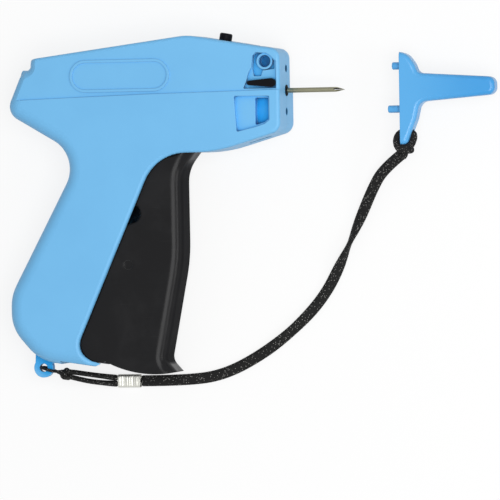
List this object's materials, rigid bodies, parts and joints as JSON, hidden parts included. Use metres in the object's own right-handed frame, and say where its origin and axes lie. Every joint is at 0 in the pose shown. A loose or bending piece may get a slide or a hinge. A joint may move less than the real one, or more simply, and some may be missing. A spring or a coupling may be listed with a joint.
{
  "type": "garment tag attacher",
  "caption": "Pistol-grip garment tag attacher with a squeeze trigger, hollow needle, side lock lever, top release button and a tethered needle cap, lying on its left side.",
  "frame": {"origin": "the point of the left side, 30 mm behind the muzzle and 10 mm below the needle axis, that the tool rests on", "axes": "+X forward along the needle; +Y up the tool, from the foot of the grip to the top of the head; +Z from the resting left side to the right side with the lock lever"},
  "size_m": [0.2156, 0.1541, 0.026],
  "materials": {
    "housing_blue": "fine satin moulding, pale blue",
    "cap_blue": "satin, deeper blue",
    "trigger_black": "polished moulding, near black",
    "fittings_black": "satin, near black",
    "mechanism_white": "natural acetal, satin",
    "needle_steel": "drawn stainless tube",
    "steel": "turned pins, wire and blade",
    "cord_black": "woven flat braid",
    "ferrule_silver": "pressed sleeve, bright"
  },
  "bodies": {
    "housing": {"left_shell": "housing_blue", "right_shell": "housing_blue", "fastener_guide": "housing_blue", "trigger_axle": "steel", "lever_axle": "steel", "needle_base": "fittings_black", "needle": "needle_steel", "cutter_blade": "steel", "feed_axle": "steel", "detent_spring": "steel", "release_spring": "steel", "return_spring": "steel", "string_loop": "cord_black", "string_knot": "cord_black", "string_strand_a": "cord_black", "string_strand_b": "cord_black", "ferrule": "ferrule_silver"},
    "trigger_body": {"trigger": "trigger_black", "drive_pin": "steel"},
    "lever_body": {"drive_lever": "mechanism_white"},
    "carrier_body": {"ejector_carrier": "mechanism_white", "carrier_pin": "steel", "ejector_rod": "steel"},
    "lock_body": {"lock_lever": "fittings_black"},
    "wheel_body": {"feed_wheel": "mechanism_white"},
    "pawl_body": {"feed_pawl": "mechanism_white"},
    "button_body": {"release_button": "fittings_black"},
    "cap_body": {"needle_cap": "cap_blue", "cord_knot": "cord_black", "cap_cord": "cord_black"}
  },
  "joints": [
    {"name": "trigger_squeeze", "type": "hinge", "parent": "housing", "child": "trigger_body", "pos_m": [-0.0199, -0.0107, 0.013], "axis": [0, 0, -1], "range_deg": [0, 12], "stiffness_Nm_per_rad": 1.2, "springref_deg": -11.46, "deforming": ["return_spring"]},
    {"name": "drive_lever_swing", "type": "hinge", "parent": "housing", "child": "lever_body", "pos_m": [-0.045, -0.038, 0.013], "axis": [0, 0, -1], "range_deg": [0, 44.23]},
    {"name": "ejector_stroke", "type": "slide", "parent": "housing", "child": "carrier_body", "axis": [1, 0, 0], "range_m": [0, 0.03901]},
    {"name": "lock_lever_turn", "type": "hinge", "parent": "housing", "child": "lock_body", "pos_m": [0.0263, 0.0133, 0.025], "axis": [0, 0, -1], "range_deg": [0, 90]},
    {"name": "feed_wheel_spin", "type": "hinge", "parent": "housing", "child": "wheel_body", "pos_m": [0.015, 0.004, 0.0186], "axis": [1, 0, 0], "continuous": true},
    {"name": "feed_pawl_slide", "type": "slide", "parent": "housing", "child": "pawl_body", "axis": [0, -1, 0], "range_m": [0, 0.0026]},
    {"name": "release_button_press", "type": "slide", "parent": "housing", "child": "button_body", "axis": [-0.1736, -0.9848, 0], "range_m": [0, 0.0022], "stiffness_N_per_m": 600, "springref_m": -0.001, "deforming": ["release_spring"]},
    {"name": "needle_cap_slide", "type": "slide", "parent": "housing", "child": "cap_body", "axis": [1, 0, 0], "range_m": [-0.0507, 0], "deforming": ["cap_cord"]}
  ],
  "couplings": [
    {"joint": "drive_lever_swing", "follows": "trigger_squeeze", "ratio": 3.6849},
    {"joint": "ejector_stroke", "follows": "trigger_squeeze", "m_per_rad": 0.18621},
    {"joint": "feed_pawl_slide", "follows": "trigger_squeeze", "m_per_rad": 0.012414}
  ]
}
